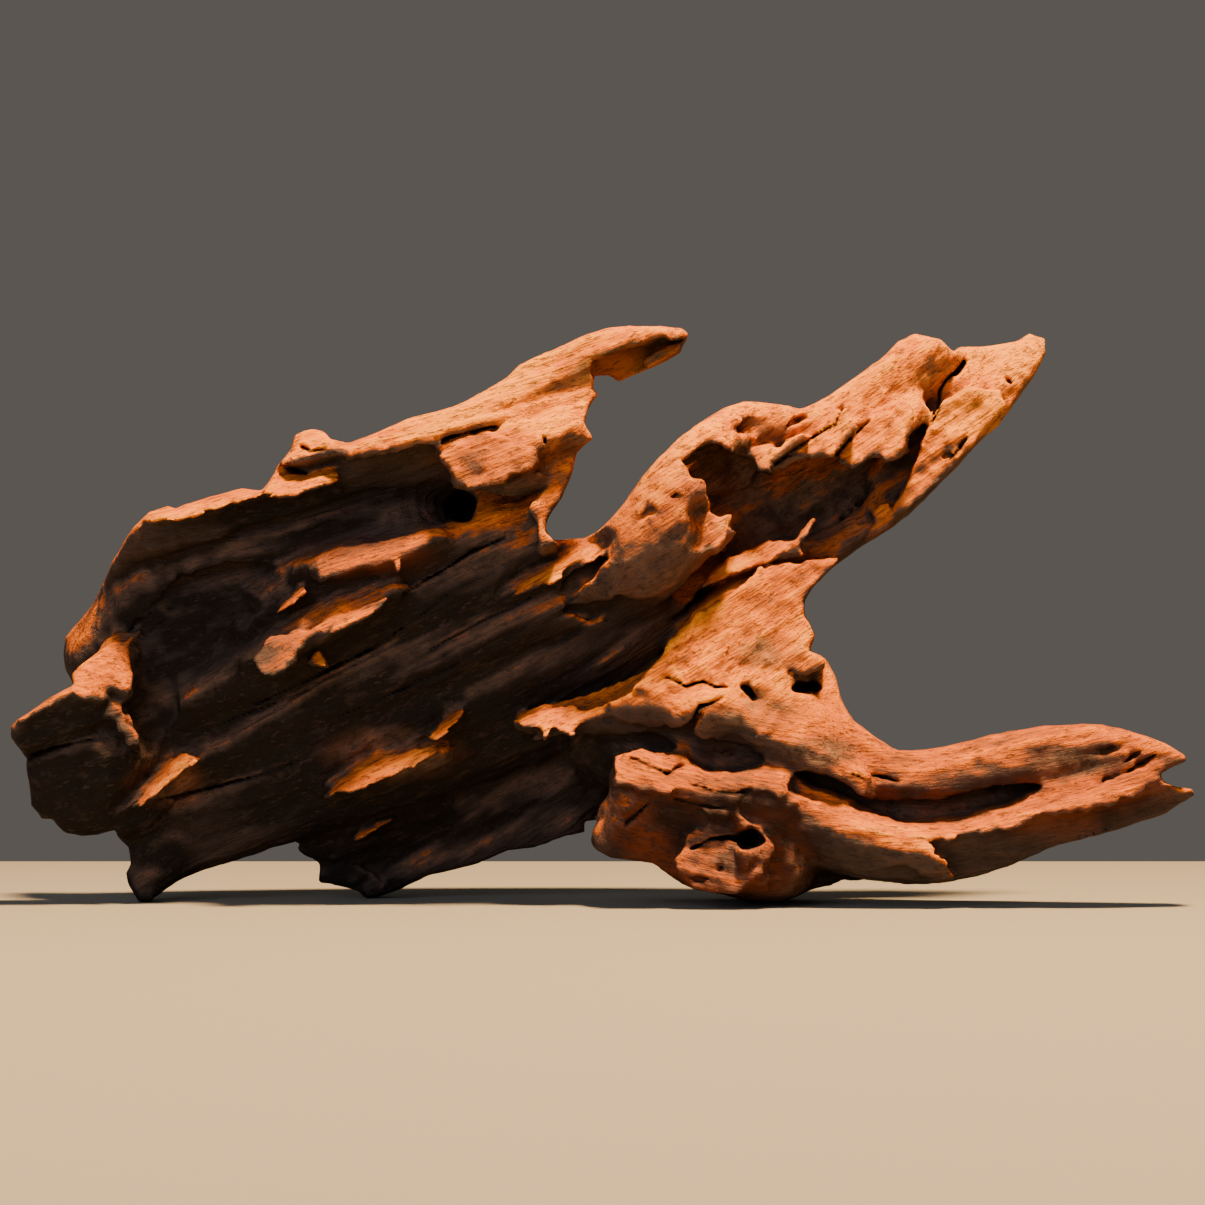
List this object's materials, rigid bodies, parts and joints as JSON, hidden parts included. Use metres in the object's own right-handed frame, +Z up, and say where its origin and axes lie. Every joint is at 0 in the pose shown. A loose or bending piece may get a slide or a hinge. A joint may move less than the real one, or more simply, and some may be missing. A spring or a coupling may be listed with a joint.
{
  "type": "driftwood piece",
  "caption": "Weathered reddish driftwood: a broad ridged slab with a hooked horn, an upper arm, a low arm and a knuckle it rests on.",
  "frame": {"origin": "centre of the footprint's bounding box, at the level of the surface the wood rests on", "axes": "+X along the length towards the low arm's tip, -Y towards the face with the ledges, which the picture shows, +Z up"},
  "size_m": [0.4488, 0.1434, 0.2174],
  "materials": {
    "driftwood": "dry, matt, weathered along the grain, orange tan on the worn tops and dark red brown in the hollows"
  },
  "bodies": {
    "root": {"trunk": "driftwood", "horn": "driftwood", "upper_arm": "driftwood", "lower_arm": "driftwood", "knuckle": "driftwood", "lower_plate": "driftwood", "left_stump": "driftwood"}
  },
  "joints": []
}
